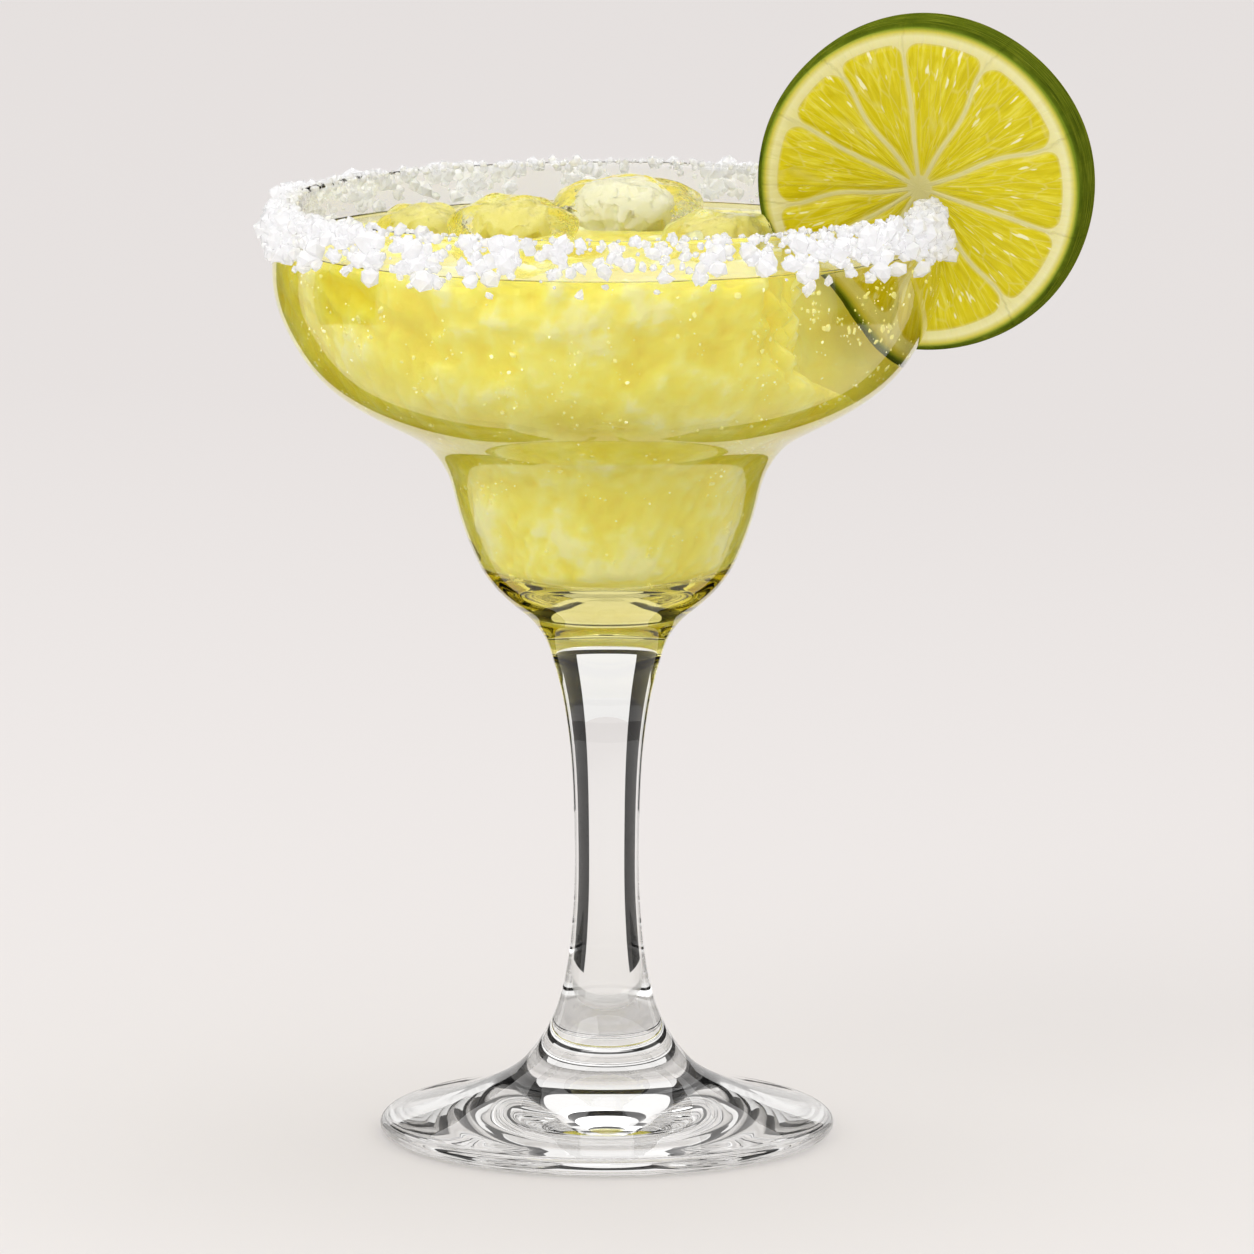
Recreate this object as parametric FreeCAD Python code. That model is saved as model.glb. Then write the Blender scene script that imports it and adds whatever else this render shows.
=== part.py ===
import FreeCAD, Part
import math
import os

# Margarita in its stepped glass, with salt on the rim, ice and a lime wheel.
# Millimetres. +Z is up, the glass axis is the Z axis, and the foot stands on z = 0.
# -Y is the front: the lime wheel hangs on the rim at +X with its cut face forward.

# Glass
GLASS_HEIGHT = 165.9
BOWL_RADIUS = 58.5
BELLY_BELOW_LIP = 12.9      # depth of the widest place of the bowl
LIP_DRAW_IN = 1.3           # how far the rim leans in above the belly
BOWL_DEPTH = 48.4           # from the lip to the step between bowl and lower cup
CUP_RADIUS = 27.8           # outer radius of the lower cup at the step
CUP_BODY = 29.5             # from the step down to where the cup runs into the stem
NECK_RADIUS = 10.6          # outer radius where the cup runs into the stem
WAIST_HEIGHT = 50.0         # thinnest place of the stem
STEM_RADIUS = 5.7
FOOT_RADIUS = 40.2
FOOT_EDGE = 3.2             # thickness of the foot at its edge
FOOT_RING = 4.0             # width of the flat ring the foot stands on
FOOT_HOLLOW = 2.0           # rise of the underside at the middle
LIP_WALL = 1.9
BOWL_WALL = 2.1
CUP_WALL = 2.6
CUP_DEPTH = 20.2            # from the step down to the lowest point of the inside

STEP_HEIGHT = GLASS_HEIGHT - BOWL_DEPTH
BELLY_HEIGHT = GLASS_HEIGHT - BELLY_BELOW_LIP
NECK_HEIGHT = STEP_HEIGHT - CUP_BODY
CUP_FLOOR = STEP_HEIGHT - CUP_DEPTH

# Drink and ice
LIQUID_BELOW_LIP = 7.4
# Each lump in shares of the bowl's radius: x, y, rise above the liquid, half width,
# half depth; then its turn in degrees
ICE_LUMPS = [
    (-0.547, 0.239, 0.089, 0.154, 0.171, 15.0),
    (-0.282, 0.103, 0.123, 0.197, 0.162, -20.0),
    (0.051, 0.427, 0.147, 0.222, 0.197, 10.0),
    (0.333, 0.094, 0.079, 0.179, 0.171, 25.0),
    (-0.179, -0.265, 0.044, 0.205, 0.137, 5.0),
]
ICE_UNEVEN = 0.12           # share by which a lump swells and dips around its sides
ICE_RINGS = 10
ICE_SECTORS = 20

# Lime wheel
LIME_RADIUS = 28.9          # radius of the front cut
LIME_SPREAD = 0.9           # how much larger the back cut is
LIME_THICKNESS = 7.5
LIME_ABOVE_LIP = 2.4        # height of the wheel's middle above the lip
LIME_TURN = 14.0            # degrees the face looks towards the middle of the glass
LIME_FORWARD_LEAN = 3.0     # degrees the top leans forward
LIME_SETBACK = 3.3          # wheel's middle behind the glass axis
ZEST = 1.6
PITH = 1.7
MEMBRANE = 0.55
CORE_RADIUS = 3.2
SEGMENT_CORNER = 2.6
# Directions of the membranes, degrees from +X; the widest gap is the slit segment
MEMBRANES = [-54.0, -17.0, 20.0, 60.0, 96.0, 127.0, 154.0, 187.0, 212.0, 240.0]

# Salt on the rim
SALT_THICK = 3.2            # largest thickness on the outside of the wall
SALT_THIN = 0.7             # smallest thickness
SALT_DROP = 9.5             # furthest reach below the lip
SALT_ON_LIP = 1.0
SALT_STATIONS = 64
SALT_CLEARANCE = 0.15       # between the salt band and the glass

# Shares of the way from foot to waist: (height share, radius share)
FOOT_CURVE = [
    (0.0, 1.0), (0.013, 0.928), (0.030, 0.836), (0.051, 0.729), (0.073, 0.634),
    (0.098, 0.536), (0.124, 0.451), (0.156, 0.363), (0.188, 0.302), (0.231, 0.245),
    (0.284, 0.188), (0.338, 0.142), (0.402, 0.101), (0.487, 0.065), (0.573, 0.040),
    (0.658, 0.023), (0.744, 0.012), (0.829, 0.004), (1.0, 0.0),
]
# Shares of the way from waist to neck
STEM_CURVE = [
    (0.158, 0.018), (0.421, 0.101), (0.632, 0.279), (0.789, 0.510), (0.921, 0.790),
    (1.0, 1.0),
]
# Shares of the way from neck to step
CUP_CURVE = [
    (0.068, 0.068), (0.136, 0.165), (0.203, 0.299), (0.271, 0.434), (0.407, 0.631),
    (0.542, 0.749), (0.678, 0.839), (0.814, 0.910), (1.0, 1.0),
]
# Shares of the way from step to belly
BOWL_CURVE = [
    (0.070, 0.043), (0.155, 0.124), (0.239, 0.276), (0.324, 0.464), (0.409, 0.618),
    (0.521, 0.762), (0.634, 0.858), (0.747, 0.928), (0.859, 0.976), (1.0, 1.0),
]


def between(curve, low, high):
    """Turn shares into (radius, height) points between two (radius, height) ends."""
    return [
        (low[0] + s * (high[0] - low[0]), low[1] + h * (high[1] - low[1]))
        for h, s in curve
    ]


def outer_points():
    """Outside of the glass from the top of the foot's edge up to the lip."""
    edge = (FOOT_RADIUS - 0.75 * FOOT_EDGE, FOOT_EDGE)
    waist = (STEM_RADIUS, WAIST_HEIGHT)
    neck = (NECK_RADIUS, NECK_HEIGHT)
    step = (CUP_RADIUS, STEP_HEIGHT)
    belly = (BOWL_RADIUS, BELLY_HEIGHT)
    foot = [
        (STEM_RADIUS + s * (edge[0] - STEM_RADIUS), FOOT_EDGE + h * (WAIST_HEIGHT - FOOT_EDGE))
        for h, s in FOOT_CURVE
    ]
    rim_top = GLASS_HEIGHT - LIP_WALL / 2
    rim = [
        (BOWL_RADIUS - LIP_DRAW_IN * h * h, BELLY_HEIGHT + h * (rim_top - BELLY_HEIGHT))
        for h in (0.35, 0.7, 1.0)
    ]
    return (foot + between(STEM_CURVE, waist, neck) + between(CUP_CURVE, neck, step)
            + between(BOWL_CURVE, step, belly) + rim)


def wall_at(height):
    """Wall thickness at a height on the outside."""
    if height >= BELLY_HEIGHT:
        share = (height - BELLY_HEIGHT) / (GLASS_HEIGHT - BELLY_HEIGHT)
        return BOWL_WALL + share * (LIP_WALL - BOWL_WALL)
    share = max(0.0, min(1.0, (height - STEP_HEIGHT) / (0.4 * (BELLY_HEIGHT - STEP_HEIGHT))))
    return CUP_WALL + share * (BOWL_WALL - CUP_WALL)


def inner_points():
    """Inside of the glass from the lip down to the axis."""
    outer = outer_points()
    wall_start = CUP_FLOOR + 0.2 * (STEP_HEIGHT - CUP_FLOOR)
    side = []
    for i in range(1, len(outer)):
        r, z = outer[i]
        if z < wall_start:
            continue
        before, after = outer[i - 1], outer[min(i + 1, len(outer) - 1)]
        dr, dz = after[0] - before[0], after[1] - before[1]
        length = math.hypot(dr, dz)
        wall = wall_at(z)
        side.append((r - wall * dz / length, z + wall * dr / length))
    side[-1] = (outer[-1][0] - LIP_WALL, outer[-1][1])
    low_r, low_z = side[0]
    rise = low_z - CUP_FLOOR
    dish = [
        (0.0, CUP_FLOOR),
        (0.35 * low_r, CUP_FLOOR + 0.05 * rise),
        (0.65 * low_r, CUP_FLOOR + 0.20 * rise),
        (0.86 * low_r, CUP_FLOOR + 0.45 * rise),
        (0.95 * low_r, CUP_FLOOR + 0.70 * rise),
    ]
    return list(reversed(dish + side))


def vectors(points):
    return [FreeCAD.Vector(r, 0, z) for r, z in points]


def spline(points):
    curve = Part.BSplineCurve()
    curve.interpolate(vectors(points))
    return curve.toShape()


def revolve(edges):
    """Close the edges into a face in the XZ plane and turn it about Z."""
    face = Part.Face(Part.Wire(Part.sortEdges(edges)[0]))
    return face.revolve(FreeCAD.Vector(0, 0, 0), FreeCAD.Vector(0, 0, 1), 360)


def line(a, b):
    return Part.makeLine(*vectors([a, b]))


def make_glass():
    outer, inner = outer_points(), inner_points()
    lip = Part.Arc(*vectors([
        outer[-1], (outer[-1][0] - LIP_WALL / 2, GLASS_HEIGHT), inner[0]])).toShape()
    ring_out = FOOT_RADIUS - 0.5 * FOOT_EDGE
    ring_in = ring_out - FOOT_RING
    edge = spline([
        outer[0],
        (FOOT_RADIUS - 0.22 * FOOT_EDGE, 0.83 * FOOT_EDGE),
        (FOOT_RADIUS, 0.5 * FOOT_EDGE),
        (FOOT_RADIUS - 0.12 * FOOT_EDGE, 0.18 * FOOT_EDGE),
        (ring_out, 0.0),
    ])
    hollow = spline([
        (ring_in, 0.0),
        (0.75 * ring_in, 0.55 * FOOT_HOLLOW),
        (0.4 * ring_in, 0.9 * FOOT_HOLLOW),
        (0.0, FOOT_HOLLOW),
    ])
    return revolve([
        spline(outer), lip, spline(inner),
        line((0.0, CUP_FLOOR), (0.0, FOOT_HOLLOW)),
        hollow, line((ring_in, 0.0), (ring_out, 0.0)), edge,
    ])


def liquid_level():
    return GLASS_HEIGHT - LIQUID_BELOW_LIP


def make_cavity():
    """The whole inside of the glass up to the lip."""
    inner = inner_points()
    top = inner[0][1]
    return revolve([
        spline(inner), line((0.0, CUP_FLOOR), (0.0, top)), line((0.0, top), inner[0]),
    ])


def faceted(rings, closed_ring):
    """A solid from rings of points; the rings close on themselves or end in two points."""
    faces = []

    def add(*corners):
        faces.append(Part.Face(Part.makePolygon(list(corners) + [corners[0]])))

    count = len(rings)
    for i in range(count if closed_ring else count - 1):
        here, there = rings[i], rings[(i + 1) % count]
        for j in range(max(len(here), len(there))):
            k = j + 1
            if len(here) > 1:
                add(here[j], there[j % len(there)], here[k % len(here)])
            if len(there) > 1:
                add(there[j], there[k % len(there)], here[k % len(here)])
    solid = Part.Solid(Part.Shell(faces))
    if solid.Volume < 0:
        solid.reverse()
    return solid


def make_ice_lump(shares, turn):
    """A melted lump of ice, most of its lower half sunk in the drink."""
    x, y, rise, half_width, half_depth = [BOWL_RADIUS * share for share in shares]
    half_height = 0.45 * half_width
    middle = FreeCAD.Vector(x, y, liquid_level() + rise - half_height)
    turned = math.radians(turn)
    rings = []
    for i in range(ICE_RINGS + 1):
        polar = math.pi * i / ICE_RINGS
        ring = []
        for j in range(ICE_SECTORS if 0 < i < ICE_RINGS else 1):
            around = 2 * math.pi * j / ICE_SECTORS
            uneven = 1 + ICE_UNEVEN * math.sin(polar) * (
                0.6 * math.sin(2 * around + x) + 0.4 * math.sin(3 * around + y + 2 * polar))
            across = half_width * math.sin(polar) * math.cos(around) * uneven
            deep = half_depth * math.sin(polar) * math.sin(around) * uneven
            ring.append(middle + FreeCAD.Vector(
                across * math.cos(turned) - deep * math.sin(turned),
                across * math.sin(turned) + deep * math.cos(turned),
                half_height * math.cos(polar)))
        rings.append(ring)
    return faceted(rings, False)


def lime_middle():
    lip_middle = outer_points()[-1][0] - LIP_WALL / 2
    return FreeCAD.Vector(lip_middle - 0.7, LIME_SETBACK, GLASS_HEIGHT + LIME_ABOVE_LIP)


def place_lime(shape):
    """Take a shape built with its face on z = 0, looking up, to the rim of the glass."""
    origin = FreeCAD.Vector(0, 0, 0)
    shape.rotate(origin, FreeCAD.Vector(1, 0, 0), 90 + LIME_FORWARD_LEAN)
    shape.rotate(origin, FreeCAD.Vector(0, 0, 1), -LIME_TURN)
    shape.translate(lime_middle())
    return shape


def lime_disc():
    half = LIME_THICKNESS / 2
    return Part.makeCone(
        LIME_RADIUS + LIME_SPREAD, LIME_RADIUS, LIME_THICKNESS,
        FreeCAD.Vector(0, 0, -half), FreeCAD.Vector(0, 0, 1))


def lime_segment(start, stop):
    """One pulp segment between two membranes, right through the wheel."""
    a, b = math.radians(start), math.radians(stop)
    radius = LIME_RADIUS - ZEST - PITH
    half = LIME_THICKNESS / 2
    middle = (a + b) / 2
    side = math.asin(MEMBRANE / 2 / radius)
    near = math.asin(MEMBRANE / 2 / CORE_RADIUS)

    def at(r, angle):
        return FreeCAD.Vector(r * math.cos(angle), r * math.sin(angle), -half)

    p = [at(CORE_RADIUS, a + near), at(radius, a + side), at(radius, middle),
         at(radius, b - side), at(CORE_RADIUS, b - near)]
    wire = Part.Wire([
        Part.makeLine(p[0], p[1]),
        Part.Arc(p[1], p[2], p[3]).toShape(),
        Part.makeLine(p[3], p[4]),
        Part.Arc(p[4], at(CORE_RADIUS, middle), p[0]).toShape(),
    ])
    body = Part.Face(wire).extrude(FreeCAD.Vector(0, 0, LIME_THICKNESS))
    outer_corners = [
        e for e in body.Edges
        if abs(e.Vertexes[0].Z - e.Vertexes[-1].Z) > LIME_THICKNESS / 2
        and math.hypot(e.Vertexes[0].X, e.Vertexes[0].Y) > radius / 2
    ]
    return body.makeFillet(SEGMENT_CORNER, outer_corners)


def make_lime(glass):
    """Peel with its membranes, and the pulp segments; the wall of the glass is the slit."""
    segments = []
    for i, start in enumerate(MEMBRANES):
        stop = MEMBRANES[(i + 1) % len(MEMBRANES)]
        segments.append(lime_segment(start, stop if stop > start else stop + 360))
    disc = lime_disc()
    peel = disc.cut(Part.makeCompound(segments))
    peel = place_lime(peel).cut(glass)
    wheel = place_lime(disc)
    pulp = {}
    for i, segment in enumerate(segments):
        pieces = place_lime(segment).cut(glass).Solids
        pieces.sort(key=lambda s: s.CenterOfMass.x)
        if len(pieces) == 1:
            pulp["lime_segment_%d" % (i + 1)] = pieces[0]
        else:
            pulp["lime_segment_inside"] = pieces[0]
            pulp["lime_segment_outside"] = pieces[-1]
    return wheel, peel, pulp


def salt_section(angle):
    """(radius, height) points round the salt on the wall at one place of the rim."""
    waves = (0.45 * math.sin(7 * angle + 0.8) + 0.35 * math.sin(13 * angle + 2.1)
             + 0.20 * math.sin(23 * angle))
    heavy = 0.5 + 0.5 * abs(math.cos(angle))
    thick = SALT_THIN + (SALT_THICK - SALT_THIN) * heavy * (0.6 + 0.4 * waves)
    drop = SALT_DROP * (0.45 + 0.35 * heavy) * (1.0 + 0.22 * waves)
    cap = SALT_ON_LIP * (0.75 + 0.25 * waves)
    lip_out = outer_points()[-1][0]
    lip_in = lip_out - LIP_WALL
    gap = SALT_CLEARANCE
    lip_z = outer_points()[-1][1]
    low = GLASS_HEIGHT - drop

    def wall(height):
        share = (height - BELLY_HEIGHT) / (lip_z - BELLY_HEIGHT)
        return BOWL_RADIUS - LIP_DRAW_IN * share * share + gap

    mid = (low + lip_z) / 2
    return [
        (wall(low), low), (wall(mid), mid), (wall(lip_z), lip_z),
        (lip_out - 0.25 * LIP_WALL + gap, GLASS_HEIGHT - 0.1 * LIP_WALL + gap),
        (lip_in + 0.25 * LIP_WALL - gap, GLASS_HEIGHT - 0.1 * LIP_WALL + gap),
        (lip_in - gap, lip_z),
        (lip_in - 0.6 * thick, lip_z + 0.2),
        (lip_in + 0.1, GLASS_HEIGHT + cap),
        (lip_out - 0.2, GLASS_HEIGHT + cap),
        (lip_out + 0.7 * thick, lip_z + 0.3),
        (wall(mid) + thick, mid),
        (wall(low) + 0.7 * thick, low + 0.4),
    ]


def make_salt(wheel):
    """The salt as one uneven band, left open where the lime wheel sits."""
    rings = []
    for i in range(SALT_STATIONS):
        angle = 2 * math.pi * i / SALT_STATIONS
        rings.append([
            FreeCAD.Vector(r * math.cos(angle), r * math.sin(angle), z)
            for r, z in salt_section(angle)
        ])
    band = faceted(rings, True)
    return band.cut(wheel)


def build():
    glass = make_glass()
    wheel, peel, pulp = make_lime(glass)
    nodes = {"glass": glass, "lime_peel": peel}
    nodes.update(pulp)
    lumps = []
    for i, sizes in enumerate(ICE_LUMPS):
        lump = make_ice_lump(sizes[:5], sizes[5]).cut(wheel)
        for earlier in lumps:
            lump = lump.cut(earlier)
        lump = max(lump.Solids, key=lambda solid: solid.Volume)
        lumps.append(lump)
        nodes["ice_lump_%d" % (i + 1)] = lump
    below = Part.makeBox(4 * BOWL_RADIUS, 4 * BOWL_RADIUS, liquid_level(),
                         FreeCAD.Vector(-2 * BOWL_RADIUS, -2 * BOWL_RADIUS, 0))
    drink = make_cavity().common(below).cut(wheel)
    for lump in lumps:
        drink = drink.cut(lump)
    nodes["drink"] = drink
    nodes["salt_rim"] = make_salt(wheel)
    return nodes


def main():
    os.makedirs("parts", exist_ok=True)
    for name, shape in build().items():
        solids = shape.Solids
        solid = solids[0] if len(solids) == 1 else shape
        solid.exportStep("parts/%s.step" % name)
        box = solid.BoundBox
        print("%-22s solids %d valid %s volume %9.1f  x %.1f..%.1f y %.1f..%.1f z %.1f..%.1f" % (
            name, len(solids), solid.isValid(), solid.Volume,
            box.XMin, box.XMax, box.YMin, box.YMax, box.ZMin, box.ZMax))


main()
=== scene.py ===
# %% [markdown]
# # Margarita in a stepped glass
# A cloudy, iced drink in a stemmed glass, with coarse salt on the rim and a lime wheel.
# The glass comes first, because the drink, the salt and the lime's slit all follow its outline.
# Sizes are in millimetres while shapes are worked out, and become metres in the meshes.

# %% Load the frame
import itertools
import math

import bpy
import numpy as np
from mathutils import Matrix, Vector


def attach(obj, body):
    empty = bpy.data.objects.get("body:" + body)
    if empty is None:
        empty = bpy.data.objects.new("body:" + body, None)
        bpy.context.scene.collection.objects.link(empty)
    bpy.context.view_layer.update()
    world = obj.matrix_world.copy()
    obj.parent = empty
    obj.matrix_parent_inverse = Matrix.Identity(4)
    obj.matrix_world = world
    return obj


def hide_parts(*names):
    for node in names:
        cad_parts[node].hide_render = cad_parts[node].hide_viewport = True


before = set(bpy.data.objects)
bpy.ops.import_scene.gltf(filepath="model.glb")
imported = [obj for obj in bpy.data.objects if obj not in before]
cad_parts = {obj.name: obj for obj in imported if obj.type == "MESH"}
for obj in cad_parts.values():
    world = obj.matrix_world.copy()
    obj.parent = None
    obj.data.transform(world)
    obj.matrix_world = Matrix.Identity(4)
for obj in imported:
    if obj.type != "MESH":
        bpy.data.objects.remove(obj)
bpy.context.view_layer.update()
rng = np.random.default_rng(20)
TAU = 2 * math.pi
AXIS = 1e-6

# %% [markdown]
# ## Sizes
# The glass is round about its axis, so one outline describes it. It could be drawn as one list
# of points, but a few driving sizes with curves between them are easier to change, and
# everything that touches the glass is then worked out from the same numbers.

# %% Sizes of the glass
GLASS_HEIGHT = 165.9
BOWL_RADIUS = 58.5
BELLY_BELOW_LIP = 12.9
LIP_DRAW_IN = 1.3
BOWL_DEPTH = 48.4
CUP_RADIUS = 27.8
CUP_BODY = 29.5
NECK_RADIUS = 10.6
WAIST_HEIGHT = 50.0
STEM_RADIUS = 5.7
FOOT_RADIUS = 40.2
FOOT_EDGE = 3.2
FOOT_RING = 4.0
FOOT_HOLLOW = 2.0
LIP_WALL = 1.9
BOWL_WALL = 2.1
CUP_WALL = 2.6
CUP_DEPTH = 20.2
LIQUID_BELOW_LIP = 7.4
WALL_THINS_OVER = 0.4
DISH_SHARE = 0.2

STEP_HEIGHT = GLASS_HEIGHT - BOWL_DEPTH
BELLY_HEIGHT = GLASS_HEIGHT - BELLY_BELOW_LIP
NECK_HEIGHT = STEP_HEIGHT - CUP_BODY
CUP_FLOOR = STEP_HEIGHT - CUP_DEPTH
LEVEL = GLASS_HEIGHT - LIQUID_BELOW_LIP

# %% The curves of the outline, as shares of height and radius
FOOT_CURVE = [
    (0.0, 1.0), (0.013, 0.928), (0.030, 0.836), (0.051, 0.729), (0.073, 0.634),
    (0.098, 0.536), (0.124, 0.451), (0.156, 0.363), (0.188, 0.302), (0.231, 0.245),
    (0.284, 0.188), (0.338, 0.142), (0.402, 0.101), (0.487, 0.065), (0.573, 0.040),
    (0.658, 0.023), (0.744, 0.012), (0.829, 0.004), (1.0, 0.0),
]
STEM_CURVE = [
    (0.158, 0.018), (0.421, 0.101), (0.632, 0.279), (0.789, 0.510), (0.921, 0.790),
    (1.0, 1.0),
]
CUP_CURVE = [
    (0.068, 0.068), (0.136, 0.165), (0.203, 0.299), (0.271, 0.434), (0.407, 0.631),
    (0.542, 0.749), (0.678, 0.839), (0.814, 0.910), (1.0, 1.0),
]
BOWL_CURVE = [
    (0.070, 0.043), (0.155, 0.124), (0.239, 0.276), (0.324, 0.464), (0.409, 0.618),
    (0.521, 0.762), (0.634, 0.858), (0.747, 0.928), (0.859, 0.976), (1.0, 1.0),
]
RIM_CURVE = (0.35, 0.7, 1.0)
DISH_CURVE = ((0, 0), (0.35, 0.05), (0.65, 0.20), (0.86, 0.45), (0.95, 0.70))

# %% [markdown]
# ## Helpers
# Small tools for curves, meshes, random noise and shader nodes. Each does one thing that
# several pieces need, so the cells for the pieces can stay short.

# %% Curves
def spline(points, per_span=6):
    """A smooth curve through (radius, height) points."""
    p = np.array(points, float)
    t = np.r_[0, np.cumsum(np.hypot(*np.diff(p, axis=0).T))]
    n, h = len(p), np.diff(t)
    a, b = np.eye(n), np.zeros((n, 2))
    for i in range(1, n - 1):
        a[i, i - 1], a[i, i], a[i, i + 1] = h[i - 1], 2 * (h[i - 1] + h[i]), h[i]
        b[i] = 6 * ((p[i + 1] - p[i]) / h[i] - (p[i] - p[i - 1]) / h[i - 1])
    m = np.linalg.solve(a, b)
    out = []
    for i in range(n - 1):
        for u in np.linspace(0, 1, per_span, endpoint=False):
            x, y = u * h[i], (1 - u) * h[i]
            out.append((m[i] * y ** 3 + m[i + 1] * x ** 3) / (6 * h[i])
                       + (p[i] / h[i] - m[i] * h[i] / 6) * y
                       + (p[i + 1] / h[i] - m[i + 1] * h[i] / 6) * x)
    return np.array(out + [p[-1]])


def between(curve, low, high):
    """The (height, radius) shares of a curve laid between two (radius, height) points."""
    return [(low[0] + s * (high[0] - low[0]), low[1] + h * (high[1] - low[1]))
            for h, s in curve]


def outer_points():
    """Outside of the glass from the foot up to the lip."""
    edge = FOOT_RADIUS - 0.75 * FOOT_EDGE
    foot = [(STEM_RADIUS + s * (edge - STEM_RADIUS), FOOT_EDGE + h * (WAIST_HEIGHT - FOOT_EDGE))
            for h, s in FOOT_CURVE]
    waist, neck = (STEM_RADIUS, WAIST_HEIGHT), (NECK_RADIUS, NECK_HEIGHT)
    step, belly = (CUP_RADIUS, STEP_HEIGHT), (BOWL_RADIUS, BELLY_HEIGHT)
    top = GLASS_HEIGHT - LIP_WALL / 2
    rim = [(BOWL_RADIUS - LIP_DRAW_IN * h * h, BELLY_HEIGHT + h * (top - BELLY_HEIGHT))
           for h in RIM_CURVE]
    return (foot + between(STEM_CURVE, waist, neck) + between(CUP_CURVE, neck, step)
            + between(BOWL_CURVE, step, belly) + rim)


def wall_at(height):
    """Thickness of the wall, thick in the cup and thinner up the bowl."""
    if height >= BELLY_HEIGHT:
        share = (height - BELLY_HEIGHT) / (GLASS_HEIGHT - BELLY_HEIGHT)
        return BOWL_WALL + share * (LIP_WALL - BOWL_WALL)
    thinning = WALL_THINS_OVER * (BELLY_HEIGHT - STEP_HEIGHT)
    share = min(max((height - STEP_HEIGHT) / thinning, 0), 1)
    return CUP_WALL + share * (BOWL_WALL - CUP_WALL)


def inner_points():
    """Inside of the glass from the axis up to the lip."""
    outer = outer_points()
    side = []
    for i in range(1, len(outer)):
        r, z = outer[i]
        if z < CUP_FLOOR + DISH_SHARE * CUP_DEPTH:
            continue
        before, after = outer[i - 1], outer[min(i + 1, len(outer) - 1)]
        dr, dz = after[0] - before[0], after[1] - before[1]
        length, wall = math.hypot(dr, dz), wall_at(z)
        side.append((r - wall * dz / length, z + wall * dr / length))
    side[-1] = (outer[-1][0] - LIP_WALL, outer[-1][1])
    low_r, rise = side[0][0], side[0][1] - CUP_FLOOR
    dish = [(share * low_r, CUP_FLOOR + lift * rise) for share, lift in DISH_CURVE]
    return dish + side


outer_curve = spline(outer_points())
inner_curve = spline(inner_points())
print("outline points:", len(outer_curve), "inside points:", len(inner_curve))

# %% Meshes
def link_object(name, data):
    piece = bpy.data.objects.new(name, data)
    bpy.context.scene.collection.objects.link(piece)
    return piece


def mesh_object(name, verts, faces, smooth=True):
    """A mesh object from vertices in millimetres and faces."""
    mesh = bpy.data.meshes.new(name)
    mesh.from_pydata((np.asarray(verts, float) * 0.001).tolist(), [], faces)
    mesh.validate()
    mesh.polygons.foreach_set("use_smooth", [smooth] * len(mesh.polygons))
    mesh.update()
    print(name, len(mesh.vertices), "vertices", len(mesh.polygons), "faces")
    return link_object(name, mesh)


def grid_faces(rows, columns, close=True):
    """Quads between the rows of a grid, which closes on itself along its columns or not."""
    faces = []
    for i in range(rows - 1):
        a, b = i * columns, (i + 1) * columns
        for j in range(columns if close else columns - 1):
            k = (j + 1) % columns
            faces.append((a + j, a + k, b + k, b + j))
    return faces


def turned(profile, around=224):
    """Vertices and faces of a profile turned about the axis, its ends closed on the axis."""
    angle = np.arange(around) * TAU / around
    rows = [p for p in profile if p[0] > AXIS]
    verts = [(r * c, r * s, z) for r, z in rows for c, s in zip(np.cos(angle), np.sin(angle))]
    faces = grid_faces(len(rows), around)
    for end, row, flip in ((profile[0], 0, True), (profile[-1], len(rows) - 1, False)):
        if end[0] > AXIS:
            continue
        verts.append((0, 0, end[1]))
        tip, a = len(verts) - 1, row * around
        for j in range(around):
            k = (j + 1) % around
            faces.append((a + k, a + j, tip) if flip else (a + j, a + k, tip))
    return np.array(verts), faces


def end_caps(rows, columns):
    """One face over the first row of a closed grid and one over the last."""
    last = rows * columns - 1
    return [tuple(range(columns)), tuple(range(last, last - columns, -1))]


def set_attribute(piece, name, values):
    layer = piece.data.attributes.new(name, "FLOAT", "POINT")
    layer.data.foreach_set("value", np.asarray(values, np.float32))


# %% The shape of a grain: twelve corners and twenty faces
GOLDEN = 1.618
CORNER_REACH = 1.902
LONGEST_SIDE = 1.2
corner = np.array([(0, 1, GOLDEN), (0, -1, GOLDEN), (0, 1, -GOLDEN), (0, -1, -GOLDEN)])
corner = np.vstack([corner, corner[:, [2, 0, 1]], corner[:, [1, 2, 0]]]) / CORNER_REACH


def grain_faces():
    """The twenty faces of an icosahedron, wound outwards."""
    faces = []
    for a, b, c in itertools.combinations(range(12), 3):
        pairs = ((a, b), (b, c), (a, c))
        if max(np.linalg.norm(corner[p] - corner[q]) for p, q in pairs) < LONGEST_SIDE:
            normal = np.cross(corner[b] - corner[a], corner[c] - corner[a])
            faces.append((a, b, c) if normal @ corner[a] > 0 else (a, c, b))
    return faces


GRAIN = grain_faces()


def draw_grain(draw, size, knobbly, squash):
    """Corners of one grain, uneven and turned any way, and whether it is a mirror image."""
    turn, _ = np.linalg.qr(draw.normal(size=(3, 3)))
    shape = corner * draw.uniform(*knobbly, (12, 1)) * draw.uniform(*squash, 3)
    return shape @ turn.T * size, np.linalg.det(turn) < 0


def add_grain(verts, faces, points, mirrored):
    start = len(verts)
    verts.extend(points)
    faces.extend(tuple(start + v for v in (f[::-1] if mirrored else f)) for f in GRAIN)


# %% Smooth random fields
def waves(points, size, seed, count=48):
    """A smooth random field of about unit spread at points, with bumps of that size."""
    r = np.random.default_rng(seed)
    way = r.normal(size=(count, 3))
    way /= np.linalg.norm(way, axis=1)[:, None]
    way *= (TAU / size) * r.uniform(0.6, 1.5, (count, 1))
    phase = r.uniform(0, TAU, count)
    return np.sin(points @ way.T + phase).sum(1) / math.sqrt(count / 2)


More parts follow.
